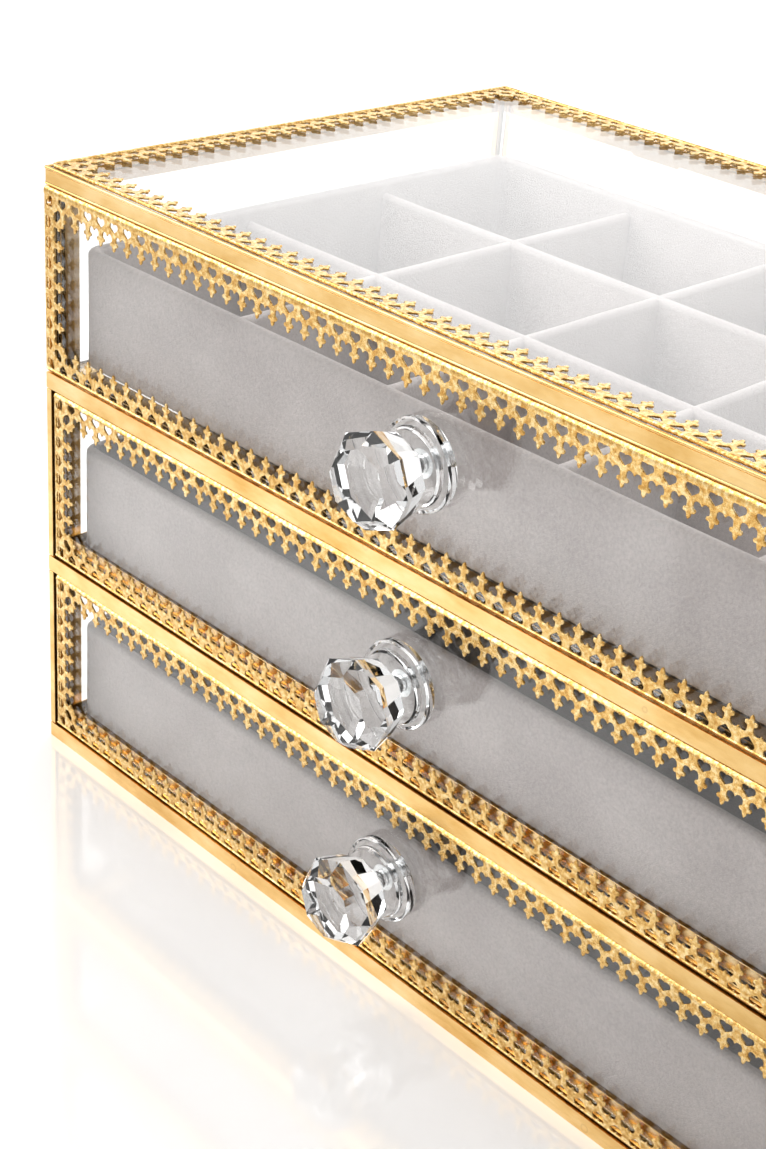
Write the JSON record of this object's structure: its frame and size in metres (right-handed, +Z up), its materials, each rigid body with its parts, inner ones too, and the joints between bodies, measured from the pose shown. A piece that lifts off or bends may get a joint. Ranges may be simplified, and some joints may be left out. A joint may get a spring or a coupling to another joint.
{
  "type": "jewelry box",
  "caption": "Brass and glass jewelry box with a hinged glass lid over a divided velvet tray, glass-fronted drawers below, pressed lace borders and crystal knobs.",
  "frame": {"origin": "centre of the underside of the base board, between the outsides of the brass bands", "axes": "+X to the right seen from the front, +Y from the front to the rear, +Z up"},
  "size_m": [0.26, 0.1819, 0.1613],
  "materials": {
    "brass": "satin, lightly brushed, with small tarnish spots",
    "steel": "plain bright steel screw",
    "lace": "pressed filigree strip, bright, slightly hammered",
    "glass": "clear polished pane",
    "mirror": "silvered plate",
    "crystal": "clear, cut and polished",
    "velvet": "warm grey velvet with a short nap",
    "felt": "plain dark felt"
  },
  "bodies": {
    "case": {"base_board": "felt", "base_frame": "brass", "divider_cross_1": "velvet", "divider_cross_2": "velvet", "divider_cross_3": "velvet", "divider_cross_4": "velvet", "divider_frame_lower": "brass", "divider_frame_upper": "brass", "divider_long_front": "velvet", "divider_long_rear": "velvet", "floor_lower": "mirror", "floor_middle": "glass", "floor_top": "glass", "front_glass_top": "glass", "front_lace_top": "lace", "glass_left_lower": "glass", "glass_left_middle": "glass", "glass_left_top": "glass", "glass_rear_lower": "glass", "glass_rear_middle": "glass", "glass_rear_top": "glass", "glass_right_lower": "glass", "glass_right_middle": "glass", "glass_right_top": "glass", "hinge_left_case_leaf": "brass", "hinge_left_pin": "brass", "hinge_right_case_leaf": "brass", "hinge_right_pin": "brass", "knob_top_head": "crystal", "knob_top_rosette": "crystal", "knob_top_screw": "steel", "post_front_left": "brass", "post_front_right": "brass", "post_rear_left": "brass", "post_rear_right": "brass", "top_rail": "brass", "tray_top": "velvet"},
    "lid": {"hinge_left_lid_leaf": "brass", "hinge_right_lid_leaf": "brass", "lid_frame": "brass", "lid_glass": "glass", "lid_lace": "lace"},
    "drawer_middle": {"drawer_middle_divider": "velvet", "drawer_middle_front_frame": "brass", "drawer_middle_front_glass": "glass", "drawer_middle_front_lace": "lace", "drawer_middle_knob_head": "crystal", "drawer_middle_knob_rosette": "crystal", "drawer_middle_knob_screw": "steel", "drawer_middle_pan": "brass", "drawer_middle_tray": "velvet"},
    "drawer_lower": {"drawer_lower_front_frame": "brass", "drawer_lower_front_glass": "glass", "drawer_lower_front_lace": "lace", "drawer_lower_knob_head": "crystal", "drawer_lower_knob_rosette": "crystal", "drawer_lower_knob_screw": "steel", "drawer_lower_pan": "brass", "drawer_lower_tray": "velvet"}
  },
  "joints": [
    {"name": "lid_hinge", "type": "hinge", "parent": "case", "child": "lid", "pos_m": [0, 0.0826, 0.1562], "axis": [-1, 0, 0], "range_deg": [0, 105]},
    {"name": "drawer_middle_slide", "type": "slide", "parent": "case", "child": "drawer_middle", "axis": [0, -1, 0], "range_m": [0, 0.115]},
    {"name": "drawer_lower_slide", "type": "slide", "parent": "case", "child": "drawer_lower", "axis": [0, -1, 0], "range_m": [0, 0.115]}
  ]
}
